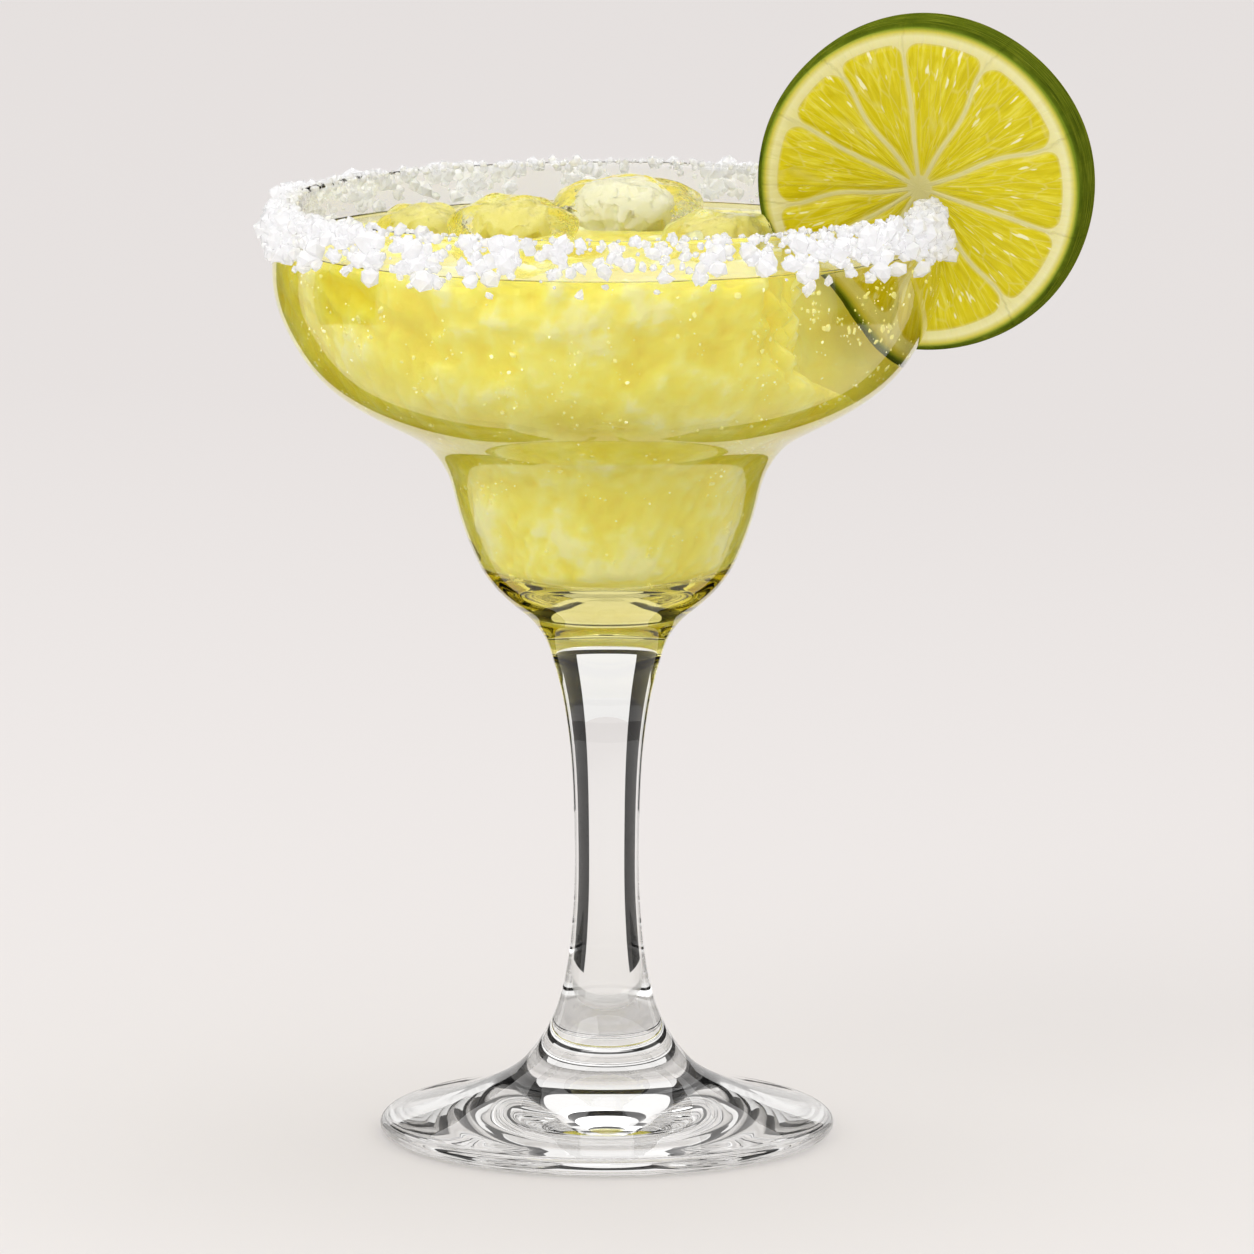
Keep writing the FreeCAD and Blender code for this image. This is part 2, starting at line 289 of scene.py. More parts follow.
# %% Shader helpers
def material(name):
    m = bpy.data.materials.new(name)
    m.use_nodes = True
    return m, m.node_tree.nodes, m.node_tree.links, m.node_tree.nodes["Principled BSDF"]


def put(shader, **values):
    """Set plain values on a node's sockets."""
    for key, value in values.items():
        shader.inputs[key.replace("_", " ")].default_value = value


def node(nodes, kind, **settings):
    n = nodes.new("ShaderNode" + kind)
    for key, value in settings.items():
        setattr(n, key, value)
    return n


def ramp(nodes, links, source, stops):
    """A colour ramp over (place, colour) stops."""
    n = node(nodes, "ValToRGB")
    links.new(source, n.inputs[0])
    while len(n.color_ramp.elements) < len(stops):
        n.color_ramp.elements.new(0.5)
    for element, (place, colour) in zip(n.color_ramp.elements, stops):
        element.position = place
        element.color = (*colour, 1)
    return n.outputs[0]


def mix(nodes, links, factor, a, b):
    """Mix two colours; each of the three is a socket or a plain value."""
    n = node(nodes, "Mix", data_type="RGBA")
    for socket, value in ((n.inputs[0], factor), (n.inputs[6], a), (n.inputs[7], b)):
        if hasattr(value, "is_output"):
            links.new(value, socket)
        elif isinstance(value, (tuple, list)):
            socket.default_value = (*value, 1)
        else:
            socket.default_value = value
    return n.outputs[2]


def calc(nodes, links, how, a, b=0.0):
    """A Math node; a and b are each a socket or a plain value."""
    n = node(nodes, "Math", operation=how)
    for socket, value in ((n.inputs[0], a), (n.inputs[1], b)):
        if hasattr(value, "is_output"):
            links.new(value, socket)
        else:
            socket.default_value = value
    return n.outputs[0]


def attribute(nodes, name):
    return node(nodes, "Attribute", attribute_name=name).outputs["Fac"]


def height_share(nodes, links, low, high):
    """How far up a place stands between two heights in metres, from 0 to 1."""
    parts, share = node(nodes, "SeparateXYZ"), node(nodes, "MapRange")
    links.new(node(nodes, "TexCoord").outputs["Object"], parts.inputs[0])
    put(share, From_Min=low, From_Max=high)
    links.new(parts.outputs["Z"], share.inputs["Value"])
    return share.outputs[0]


def roughen(nodes, links, shader, height, strength, distance):
    """Let a height turn the shader's normals."""
    bump = node(nodes, "Bump")
    put(bump, Strength=strength, Distance=distance)
    links.new(height, bump.inputs["Height"])
    links.new(bump.outputs[0], shader.inputs["Normal"])


def let_light_through(m):
    """Shadow rays pass, so that the lamps reach what is behind clear glass."""
    nodes, links = m.node_tree.nodes, m.node_tree.links
    shader, out = nodes["Principled BSDF"], nodes["Material Output"]
    path, clear = node(nodes, "LightPath"), node(nodes, "BsdfTransparent")
    both = node(nodes, "MixShader")
    links.new(path.outputs["Is Shadow Ray"], both.inputs[0])
    links.new(shader.outputs[0], both.inputs[1])
    links.new(clear.outputs[0], both.inputs[2])
    links.new(both.outputs[0], out.inputs["Surface"])


def finish_piece(piece, paint, slot, *nodes):
    """Paint a piece, ride it on the body and hide the CAD nodes it stands for."""
    piece.data.materials.clear()
    piece.data.materials.append(paint)
    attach(piece, "root")
    if nodes:
        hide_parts(*nodes)
    print(piece.name, "painted with", paint.name)


# %% [markdown]
# Ice and salt share two effects: small crystals, and a soft mottle. Each is a node group that
# is built once and placed in every paint that needs it, with that paint's own values.

# %% Shared effects
def texture_group(name, kind, sockets, output):
    """A node group round one texture that is fixed to the object."""
    group = bpy.data.node_groups.new(name, "ShaderNodeTree")
    for socket in sockets:
        group.interface.new_socket(socket, in_out="INPUT", socket_type="NodeSocketFloat")
    group.interface.new_socket("Height", in_out="OUTPUT", socket_type="NodeSocketFloat")
    nodes, links = group.nodes, group.links
    values, result = nodes.new("NodeGroupInput"), nodes.new("NodeGroupOutput")
    texture = node(nodes, kind)
    links.new(node(nodes, "TexCoord").outputs["Object"], texture.inputs["Vector"])
    for socket in sockets:
        links.new(values.outputs[socket], texture.inputs[socket])
    links.new(texture.outputs[output], result.inputs["Height"])
    print("effect", name, "with", ", ".join(sockets))
    return group


def effect(nodes, group, **values):
    """A shared effect placed in one material, with its own values."""
    n = node(nodes, "Group", node_tree=group)
    put(n, **values)
    return n.outputs["Height"]


CRYSTALS = texture_group("crystals", "TexVoronoi", ("Scale",), "Distance")
MOTTLE = texture_group("mottle", "TexNoise", ("Scale", "Detail", "Roughness"), "Fac")

# %% [markdown]
# ## The glass
# The real glass is one blown or pressed piece: foot, stem, lower cup and bowl, with a hollow
# under the foot so that it stands on a ring. It could be built from cylinders joined together,
# but clear glass shows every seam inside, so one closed outline is turned about the axis.

# %% Glass shape
HOLLOW_CURVE = ((0.0, 1.0), (0.4, 0.9), (0.75, 0.55), (1.0, 0.0))
EDGE_CURVE = ((0.12, 0.18), (0.0, 0.5), (0.22, 0.83))
ring_out = FOOT_RADIUS - 0.5 * FOOT_EDGE
ring_in = ring_out - FOOT_RING
hollow = spline([(share * ring_in, lift * FOOT_HOLLOW) for share, lift in HOLLOW_CURVE], 4)
edge = [(FOOT_RADIUS - inward * FOOT_EDGE, up * FOOT_EDGE) for inward, up in EDGE_CURVE]
edge = spline([(ring_out, 0), *edge, outer_curve[0]], 4)
lip_z = GLASS_HEIGHT - LIP_WALL / 2
lip = [(outer_curve[-1][0] - LIP_WALL / 2 * (1 - math.cos(a)), lip_z + LIP_WALL / 2 * math.sin(a))
       for a in np.linspace(0, math.pi, 13)[1:-1]]
profile = np.vstack([hollow, edge, outer_curve[1:], lip, inner_curve[::-1]])
glass = mesh_object("glass_body", *turned(profile))

# %% [markdown]
# Clear glass is a Principled shader with full transmission. Its shadow rays are let through,
# since light that has bent through glass is slow and noisy to follow.

# %% Glass paint
clear_glass, nodes, links, shader = material("clear_glass")
put(shader, Base_Color=(0.985, 0.99, 0.985, 1), Roughness=0.0, IOR=1.5, Transmission_Weight=1.0)
let_light_through(clear_glass)
finish_piece(glass, clear_glass, "glass", "glass")

# %% [markdown]
# ## The drink
# A frozen margarita is crushed ice in a clear yellow liquid. One cloudy solid would look like
# paint, so it is made in two: a clear liquid that fills the glass and reaches just into its
# wall, which leaves no film of air, and a rough, cloudy core a little smaller than it. The
# core's peaks show pale against the wall and the hollows between them show yellow.

# %% Liquid shape
INTO_WALL = 0.15
MENISCUS = ((0.0, 0.5), (0.4, 0.15), (1.3, 0.0))
below = inner_curve[inner_curve[:, 1] < LEVEL]


def slopes(curve):
    """Unit steps along a curve of (radius, height) points."""
    step = np.gradient(curve, axis=0)
    return step / np.linalg.norm(step, axis=1)[:, None]


def pushed_out(curve, by):
    """The curve moved sideways, along its own normal, towards the wall."""
    step = slopes(curve)
    moved = curve + by * np.c_[step[:, 1], -step[:, 0]]
    moved[curve[:, 0] < AXIS, 0] = 0
    return moved


side_start = 40
wet = pushed_out(below, INTO_WALL)
wet_edge = float(np.interp(LEVEL, inner_curve[side_start:, 1], inner_curve[side_start:, 0]))
wet_edge += INTO_WALL
meniscus = [(wet_edge - inward, LEVEL + lift) for inward, lift in MENISCUS]
surface = [(r, LEVEL) for r in np.linspace(wet_edge - 3, 0, 24)]
liquid_profile = np.vstack([wet, meniscus, surface])
verts, faces = turned(liquid_profile)
liquid = mesh_object("liquid", verts, faces)

# %% [markdown]
# The liquid is a deeper yellow near the inside floor, so its tint follows the height. It
# bends light less than water does, because the lime's rind then shows through it.

# %% Liquid paint
LIQUID_IOR = 1.17
liquid_paint, nodes, links, shader = material("liquid_paint")
put(shader, Roughness=0.0, IOR=LIQUID_IOR, Transmission_Weight=1.0)
tint_place = height_share(nodes, links, (CUP_FLOOR - 1) / 1000, (CUP_FLOOR + 9) / 1000)
tint = ramp(nodes, links, tint_place, [
    (0.0, (0.96, 0.86, 0.18)), (0.22, (0.96, 0.89, 0.32)), (1.0, (0.97, 0.93, 0.50))])
links.new(tint, shader.inputs["Base Color"])
let_light_through(liquid_paint)
finish_piece(liquid, liquid_paint, "drink", "drink")

# %% [markdown]
# The core follows the inside of the glass at a small gap. Smooth random fields push its wall in
# and out, and it draws back in front of the lime, so the lime's rind can be seen there.
# The gap is narrower in the cup and near the top, where the ice packs against the wall.

# %% Crushed ice core
GAP_SHARE, GAP_LEAST, GAP_MOST = 0.125, 0.9, 6.6
CUP_GAP, CUP_GAP_TOP, CUP_GAP_FADE = 0.45, 128, 14
TOP_GAP_LOSS, TOP_GAP_START, TOP_GAP_FADE = 0.35, 146, 12
ROUGH_DEPTH = 4.0
margin = np.clip(GAP_SHARE * below[:, 0], GAP_LEAST, GAP_MOST)
in_bowl = np.clip((below[:, 1] - CUP_GAP_TOP) / CUP_GAP_FADE, 0, 1)
margin *= CUP_GAP + (1 - CUP_GAP) * in_bowl
margin *= 1 - TOP_GAP_LOSS * np.clip((below[:, 1] - TOP_GAP_START) / TOP_GAP_FADE, 0, 1)
step = slopes(below)
core_low = below - margin[:, None] * np.c_[step[:, 1], -step[:, 0]]
core_low[0, 0] = 0
core_low = core_low[(core_low[:, 1] < LEVEL - 1.2) & (np.arange(len(core_low)) % 2 == 0)]
core_edge = core_low[-1][0]
core_profile = np.vstack([core_low, [(core_edge - 0.5, LEVEL - 0.8)],
                          [(r, LEVEL - 0.6) for r in np.linspace(core_edge - 1.6, 0, 40)]])
verts, faces = turned(core_profile, 300)
coarse, middle, fine = waves(verts, 17, 1), waves(verts, 6.5, 2), waves(verts, 2.8, 3)
rough = np.clip(0.5 + 0.15 * coarse + 0.08 * middle + 0.07 * fine, 0, 1)
radius = np.hypot(verts[:, 0], verts[:, 1])
bearing = np.degrees(np.arctan2(verts[:, 1], verts[:, 0]))
outward = np.c_[verts[:, 0], verts[:, 1], 0 * radius] / np.maximum(radius, AXIS)[:, None]
on_side = verts[:, 2] < LEVEL - 1.0
push = ROUGH_DEPTH * (0.5 - rough) * np.where(on_side, 1, 0.4) * np.clip(radius / 14, 0, 1)
verts = verts - outward * push[:, None]

# %% Pocket in front of the lime, between two bearings in degrees and above a sloping floor
POCKET_LEFT, POCKET_RIGHT, POCKET_FADE = 22, -88, 6
POCKET_FLOOR, POCKET_SLOPE, POCKET_RISE = 137.0, 0.165, 4
POCKET_WALL = 27.0
front_of_lime = np.clip((POCKET_LEFT - bearing) / POCKET_FADE, 0, 1) * (bearing > POCKET_RIGHT)
pocket_floor = POCKET_FLOOR + POCKET_SLOPE * np.clip(5 - verts[:, 1], 0, 60)
above_floor = (verts[:, 2] - pocket_floor + POCKET_RISE) / POCKET_RISE
opened = front_of_lime * np.clip(above_floor, 0, 1)
limit = (POCKET_WALL + 1.2 * middle) / np.maximum(np.cos(np.radians(bearing)), 0.05)
shrunk = np.minimum(1, limit / np.maximum(radius - push, AXIS))
verts[:, :2] *= (1 + opened * (shrunk - 1))[:, None]
verts[:, 2] += np.where(on_side, 0, 0.35 * middle + 0.25 * fine)
core = mesh_object("crushed_ice", verts, faces)
set_attribute(core, "peak", rough)
set_attribute(core, "side", on_side)

# %% [markdown]
# Crushed ice scatters light many times and comes out pale. Following all of that is slow, so
# the paint mixes a little scattering with a faint light of its own on the walls of the core.
# Its colour runs from deep yellow in the hollows to near white on the peaks.

# %% Crushed ice colours
slush, nodes, links, shader = material("slush")
cloud = effect(nodes, MOTTLE, Scale=120.0, Detail=6.0, Roughness=0.62)
patch = calc(nodes, links, "MULTIPLY_ADD", cloud, 1.0)
patch.node.inputs[2].default_value = -0.52
height = calc(nodes, links, "ADD", attribute(nodes, "peak"), patch)
paler = ramp(nodes, links, height_share(nodes, links, 0.100, 0.160), [
    (0.0, (0.30, 0.30, 0.30)), (0.25, (0.16, 0.16, 0.16)), (0.38, (-0.1, -0.1, -0.1)),
    (0.62, (-0.04, -0.04, -0.04)), (0.92, (0.08, 0.08, 0.08))])
height = calc(nodes, links, "ADD", height, paler)
yellow = ramp(nodes, links, height, [
    (0.15, (0.90, 0.78, 0.075)), (0.45, (0.95, 0.85, 0.125)), (0.72, (0.97, 0.90, 0.26)),
    (0.95, (0.98, 0.95, 0.56))])
links.new(yellow, shader.inputs["Base Color"])

# %% Crushed ice glow and grain
glow = mix(nodes, links, attribute(nodes, "side"), (0.0, 0.0, 0.0), yellow)
links.new(glow, shader.inputs["Emission Color"])
put(shader, Emission_Strength=0.17, Roughness=0.35, Subsurface_Weight=0.6,
    Subsurface_Scale=0.006, Subsurface_Radius=(1.0, 0.75, 0.25))
bumps = calc(nodes, links, "ADD", effect(nodes, CRYSTALS, Scale=620.0), cloud)
roughen(nodes, links, shader, bumps, 0.3, 0.0005)
finish_piece(core, slush, "drink")

# %% [markdown]
# Small chips of ice float between the core and the wall, and a painted glow of their own stands
# in for the light they catch.
# They lie in clusters, as they do when a drink is poured, so a random field says where they may
# be.

# %% Ice chips between the core and the wall
CHIP_COUNT, FLECK_COUNT = 1400, 1600
LEAST_WALL, FULL_WALL = 8, 56
CLUSTER_LEVEL = 0.75
chip_rng = np.random.default_rng(7)
wall_z = np.linspace(CUP_FLOOR, LEVEL, 200)
wall_r = np.interp(wall_z, inner_curve[:, 1], inner_curve[:, 0])


def scattered(count, low, high, reach, shape_rng):
    """Places in clusters between the core and the wall."""
    found = []
    while len(found) < count:
        z = shape_rng.uniform(low, high)
        angle = shape_rng.uniform(0, TAU)
        wall = float(np.interp(z, wall_z, wall_r))
        if wall < LEAST_WALL or shape_rng.uniform() > (wall / FULL_WALL) ** 0.5:
            continue
        r = wall * (1 - shape_rng.uniform(0.02, reach))
        spot = np.array([r * math.cos(angle), r * math.sin(angle), z])
        thick = float(waves(spot[None], 13, 77)[0]) + 0.55 * float(waves(spot[None], 5, 78)[0])
        if thick + 0.35 * shape_rng.normal() < CLUSTER_LEVEL:
            continue
        found.append(spot)
    return found


def scatter_grains(name, spots, sizes, shape_rng, squash):
    verts, faces = [], []
    for spot, size in zip(spots, sizes):
        shape, mirrored = draw_grain(shape_rng, size, (0.6, 1.2), (squash, 1.2))
        add_grain(verts, faces, spot + shape, mirrored)
    return mesh_object(name, verts, faces, smooth=False)


chip_spots = scattered(CHIP_COUNT, CUP_FLOOR + 3, LEVEL - 2, 0.22, chip_rng)
chip_sizes = chip_rng.lognormal(-1.15, 0.4, CHIP_COUNT).clip(0.12, 0.7)
chips = scatter_grains("ice_chips", chip_spots, chip_sizes, chip_rng, 0.6)
chip_glow_paint, nodes, links, shader = material("ice_chip")
# The chips' emission is a painted glow, not light from the lamps.
put(shader, Base_Color=(0.98, 0.95, 0.52, 1), Roughness=0.15, Emission_Strength=0.22,
    Emission_Color=(1.0, 0.94, 0.40, 1))
finish_piece(chips, chip_glow_paint, "ice")

# %% Smaller, whiter flecks that glow: painted glints
fleck_spots = scattered(FLECK_COUNT, CUP_FLOOR + 2, LEVEL - 1, 0.20, chip_rng)
fleck_sizes = chip_rng.lognormal(-1.9, 0.45, FLECK_COUNT).clip(0.06, 0.40)
flecks = scatter_grains("ice_flecks", fleck_spots, fleck_sizes, chip_rng, 0.35)
fleck_glint_paint, nodes, links, shader = material("ice_fleck")
# The flecks' strong emission paints white glints of light on them.
put(shader, Base_Color=(1.0, 0.99, 0.92, 1), Roughness=0.2, Emission_Strength=0.5,
    Emission_Color=(1.0, 0.98, 0.80, 1))
finish_piece(flecks, fleck_glint_paint, "ice")

# %% [markdown]
# ## Ice above the drink
# Five melted lumps stand above the liquid, wet and tinted by it. A cube with worn edges would
# be too regular, so each lump is a flattened ball made uneven by low waves. A clear skin round
# a cloudy heart looks like ice that froze from the outside in.

# %% Ice lumps: place, rise, width and depth as shares of the bowl's radius, and turn
ICE_LUMPS = [
    (-0.547, 0.239, 0.089, 0.154, 0.171, 15.0),
    (-0.282, 0.103, 0.123, 0.197, 0.162, -20.0),
    (0.051, 0.427, 0.147, 0.222, 0.197, 10.0),
    (0.333, 0.094, 0.079, 0.179, 0.171, 25.0),
    (-0.179, -0.265, 0.044, 0.205, 0.137, 5.0),
]


def lump_points(sizes, polar, around):
    x, y, rise, wide, deep = [BOWL_RADIUS * s for s in sizes[:5]]
    turn, high = math.radians(sizes[5]), 0.45 * wide
    uneven = 1 + 0.12 * np.sin(polar) * (
        0.6 * np.sin(2 * around + x) + 0.4 * np.sin(3 * around + y + 2 * polar))
    across = wide * np.sin(polar) * np.cos(around) * uneven
    back = deep * np.sin(polar) * np.sin(around) * uneven
    return np.c_[x + across * math.cos(turn) - back * math.sin(turn),
                 y + across * math.sin(turn) + back * math.cos(turn),
                 LEVEL + rise - high + high * np.cos(polar)]


# %% Ice paints
ice_paint, nodes, links, shader = material("wet_ice")
put(shader, Base_Color=(0.97, 0.95, 0.74, 1), Roughness=0.03, IOR=1.31, Transmission_Weight=1.0)
ripples = effect(nodes, MOTTLE, Scale=230.0, Detail=4.0, Roughness=0.5)
roughen(nodes, links, shader, ripples, 0.8, 0.0012)
let_light_through(ice_paint)


def heart_paint(name, colour, radius):
    """Cloudy ice, which scatters light below its surface."""
    paint, _, _, shader = material(name)
    put(shader, Base_Color=colour, Roughness=0.4, Subsurface_Weight=0.8,
        Subsurface_Scale=0.006, Subsurface_Radius=radius)
    return paint


frost = heart_paint("cloudy_ice", (0.95, 0.94, 0.76, 1), (1, 0.9, 0.5))
slush_heart = heart_paint("yellow_ice", (0.88, 0.80, 0.26, 1), (1, 0.9, 0.3))

# %% Lump and heart meshes
RINGS, SECTORS = 40, 72
HEART_SHARE = 0.56
WHITE_LUMP = 2
for i, sizes in enumerate(ICE_LUMPS):
    polar = np.repeat(np.linspace(0.02, math.pi - 0.02, RINGS), SECTORS)
    around = np.tile(np.arange(SECTORS) * TAU / SECTORS, RINGS)
    verts = lump_points(sizes, polar, around)
    verts += 0.35 * waves(verts, 7, 30 + i)[:, None] * np.array([0.5, 0.5, 1.0])
    faces = [f[::-1] for f in grid_faces(RINGS, SECTORS)] + end_caps(RINGS, SECTORS)
    lump = mesh_object("ice_%d" % (i + 1), verts, faces)
    finish_piece(lump, ice_paint, "ice", "ice_lump_%d" % (i + 1))
    heart = verts.mean(0) - [0, 0, 1.0]
    heart_verts = heart + (verts - heart) * HEART_SHARE
    heart_verts = heart_verts + 0.25 * waves(verts, 3.5, 50 + i)[:, None]
    cloudy = mesh_object("ice_heart_%d" % (i + 1), heart_verts, faces)
    finish_piece(cloudy, frost if i == WHITE_LUMP else slush_heart, "ice")

# %% [markdown]
# ## Salt on the rim
# Coarse crystals stuck to the wet lip and the wall below it, thickest at the two sides. A bump
# on one crust would look like frosting, so every crystal is a small mesh of its own: an even
# coat, then clumps that hang lower, then a sprinkle on top of the lip.

# %% Salt sizes
COAT_COUNT, TOP_COUNT = 1250, 520
SALT_DEPTH = 8.6
CLUMP_COUNT, THIN_CLUMP_COUNT = 25, 12
THIN_FROM, THIN_TO = -100, -60
CLUMPS = (
    (-176, 5.5), (-168, 7.5), (-160, 5.5), (-151, 6.5), (-141, 4.5), (-133, 6.0), (-125, 6.2),
    (-121, 8.0), (-112, 6.5), (-107, 4.0), (-97, 3.5), (-88, 4.6), (-80, 6.5), (-72, 4.6),
    (-63, 5.2), (-55, 6.2), (-47, 5.4), (-39, 6.6), (-31, 5.6), (-23, 7.0), (-15, 5.4),
    (-7, 6.6), (2, 5.0), (170, 5.5), (158, 5.0), (140, 4.0), (115, 4.4), (95, 3.6), (70, 4.2),
    (45, 4.8), (24, 5.0),
)
KNOBBLY, SQUASH = (0.72, 1.15), (0.7, 1.15)
LIME_TURN = math.radians(14.0)
LIME_ROOM, LIME_INNER_REACH = 3.9, -32
lip_middle = outer_curve[-1][0] - LIP_WALL / 2
lime_centre = (lip_middle - 0.7, 3.3, GLASS_HEIGHT + 2.4)


def wall_radius(z):
    """Outside radius of the bowl near the rim."""
    return float(np.interp(z, outer_curve[-20:, 1], outer_curve[-20:, 0]))


def salt_weight(angle):
    """How thickly the salt lies round the rim."""
    side = abs(math.cos(angle)) ** 1.5
    return 0.25 + 0.75 * side + 0.16 * math.sin(7 * angle + 0.8) + 0.10 * math.sin(13 * angle)


def hang(angle, drop, size, out):
    """A grain on the outside of the wall, that far below the lip."""
    z = GLASS_HEIGHT - 0.3 - drop
    return angle, wall_radius(min(z, lip_z)) + 0.40 * size + out, z, size


def near_lime(centre, size):
    """Whether a grain would touch the lime wheel."""
    x, y, _ = centre - lime_centre
    away = -x * math.sin(LIME_TURN) - y * math.cos(LIME_TURN)
    return abs(away) < LIME_ROOM + size and x > LIME_INNER_REACH


# %% The coat of salt
grains = []
while len(grains) < COAT_COUNT:
    angle = rng.uniform(0, TAU)
    weight = salt_weight(angle)
    if rng.uniform() > weight:
        continue
    size = float(np.clip(rng.lognormal(-0.12, 0.42), 0.30, 2.0))
    drop = rng.exponential(2.3) * (0.55 + 0.8 * weight)
    if drop < SALT_DEPTH:
        grains.append(hang(angle, drop, size, rng.uniform(0, 1.0) * weight * (drop > 1)))

# %% Clumps that hang lower, each a bearing in degrees and a depth
for clump, low in CLUMPS:
    for _ in range(THIN_CLUMP_COUNT if THIN_FROM < clump < THIN_TO else CLUMP_COUNT):
        angle = math.radians(clump) + rng.normal() * 0.030
        drop = float(np.clip(low * 0.62 + rng.normal() * 1.9, 0.2, low + 2.6))
        size = float(np.clip(rng.lognormal(0.02, 0.42), 0.4, 2.2))
        grains.append(hang(angle, drop, size, rng.uniform(0, 0.9)))

# %% Salt on top of the lip
for _ in range(TOP_COUNT):
    angle = rng.uniform(0, TAU)
    size = float(np.clip(rng.lognormal(-0.40, 0.38), 0.25, 1.3))
    across = rng.uniform(-0.3, LIP_WALL + 0.5)
    r = outer_curve[-1][0] - across
    grains.append((angle, r, GLASS_HEIGHT + 0.25 * size - 0.4 * abs(across - LIP_WALL / 2), size))
print("salt grains drawn:", len(grains))

# %% Salt mesh
verts, faces = [], []
for angle, r, z, size in grains:
    shape, mirrored = draw_grain(rng, size, KNOBBLY, SQUASH)
    centre = np.array([r * math.cos(angle), r * math.sin(angle), z])
    if not near_lime(centre, size):
        add_grain(verts, faces, centre + shape, mirrored)
salt = mesh_object("salt_grains", verts, faces, smooth=False)

# %% [markdown]
# Salt crystals are clear, but their worn faces scatter light and look white. The paint is half
# clear and half scattering, and flat faces with a little relief give each grain its sparkle.

# %% Salt paint
salt_paint, nodes, links, shader = material("salt_crystal")
put(shader, Base_Color=(0.98, 0.98, 0.99, 1), Roughness=0.2, IOR=1.5,
    Transmission_Weight=0.42, Subsurface_Weight=0.5, Subsurface_Scale=0.0015,
    Subsurface_Radius=(1, 1, 1))
roughen(nodes, links, shader, effect(nodes, CRYSTALS, Scale=900.0), 0.3, 0.0004)
let_light_through(salt_paint)
finish_piece(salt, salt_paint, "salt", "salt_rim")

# %% [markdown]
# ## The lime wheel
# A thick slice hung on the rim by a slit. Its cut face shows the zest, the pith, ten segments
# of pulp and the membranes between them. Ten separate pieces would leave hard seams, so the
# wheel is one mesh whose surface is raised over each segment and sunk at each membrane.

# %% Lime sizes and place
LIME_RADIUS, LIME_SPREAD, LIME_THICKNESS = 28.9, 0.9, 7.5
ZEST, PITH, MEMBRANE, CORE = 1.6, 1.7, 0.55, 2.1
MEMBRANES = np.radians([-54.0, -17.0, 20.0, 60.0, 96.0, 127.0, 154.0, 187.0, 212.0, 240.0])
PULP_EDGE = LIME_RADIUS - ZEST - PITH
CUT_SUNK = -0.05
lime_place = (Matrix.Translation(lime_centre)
              @ Matrix.Rotation(-LIME_TURN, 4, "Z") @ Matrix.Rotation(math.radians(93), 4, "X"))


def lime_facts(x, y):
    """Radius, distance to the nearest membrane and segment number at places on the cut."""
    r, a = np.hypot(x, y), np.arctan2(y, x)
    bend = 0.035 * np.sin(3 * a + 1) * np.sin(r * 0.35)
    gap = (a + bend)[:, None] - MEMBRANES[None, :]
    gap = (gap + math.pi) % TAU - math.pi
    near = np.abs(r[:, None] * np.sin(np.clip(np.abs(gap), 0, math.pi / 2))).min(1)
    ahead = np.where(gap < 0, gap + TAU, gap)
    return r, near, ahead.argmin(1).astype(float)


def pulp_inside(r, near):
    """Distance from the pulp's outline, positive inside, with rounded corners."""
    side, end = near - MEMBRANE / 2, PULP_EDGE - r
    corner_size = np.clip(0.13 * r, 0.25, 2.6)
    u, v = corner_size - side, corner_size - end
    rounded = corner_size - np.hypot(np.maximum(u, 0), np.maximum(v, 0))
    inside = np.minimum(np.minimum(side, end), rounded)
    return np.minimum(inside, (r - CORE) * 0.8)


def cut_relief(x, y):
    """Height of the cut face: swollen segments with small juice cells, sunk membranes."""
    r, near, segment = lime_facts(x, y)
    inside = pulp_inside(r, near)
    a = np.arctan2(y, x)
    swell = 0.45 * np.clip(inside / 1.6, 0, 1) ** 0.5 * np.clip(inside, 0, 1)
    cells = (np.sin(a * 34 + 1.3 * np.sin(r * 0.5 + segment) + segment)
             * np.sin(r * 0.9 + 3 * a + segment))
    pulp = swell + 0.10 * cells * np.clip(inside / 2, 0, 1)
    return np.where(inside > 0, pulp - 0.15, CUT_SUNK)


def lime_mesh():
    """Rows from the middle of the front, over the edge, to the middle of the back."""
    around, half = 420, LIME_THICKNESS / 2
    angle = np.arange(around) * TAU / around
    outline = 1 + 0.004 * np.sin(2 * angle + 0.6) + 0.003 * np.sin(5 * angle)
    rows = []
    for share in np.r_[np.linspace(0.004, 0.9, 96), np.linspace(0.91, 0.985, 9)]:
        rows.append(("front", share))
    for w in (0.35, 0.12, 0.0, -0.12, -0.35):
        rows.append(("edge", w))
    for share in np.r_[np.linspace(0.985, 0.91, 9), np.linspace(0.9, 0.004, 50)]:
        rows.append(("back", share))
    verts = []
    for kind, value in rows:
        if kind == "edge":
            t = 0.5 - value / 0.8
            full = (LIME_RADIUS + LIME_SPREAD * t) * outline
            full = full + 0.25 * (1 - (2 * t - 1) ** 2)
            verts.append(np.c_[full * np.cos(angle), full * np.sin(angle),
                               np.full(around, half * (1 - 2 * t))])
            continue
        front = kind == "front"
        full = (LIME_RADIUS + (0 if front else LIME_SPREAD)) * outline * value
        x, y = full * np.cos(angle), full * np.sin(angle)
        lift = cut_relief(x, y)
        soft = -0.35 * np.clip((value - 0.975) / 0.01, 0, 1)
        verts.append(np.c_[x, y, (half + lift + soft) * (1 if front else -1)])
    faces = [f[::-1] for f in grid_faces(len(rows), around)] + end_caps(len(rows), around)
    return np.vstack(verts), faces


verts, faces = lime_mesh()
matrix = np.array(lime_place)
placed = verts @ matrix[:3, :3].T + matrix[:3, 3]
lime = mesh_object("lime_wheel", placed, faces)

# %% [markdown]
# The slit has to fit a wall that curves, so the wall itself, a hair thicker, is the cutter.

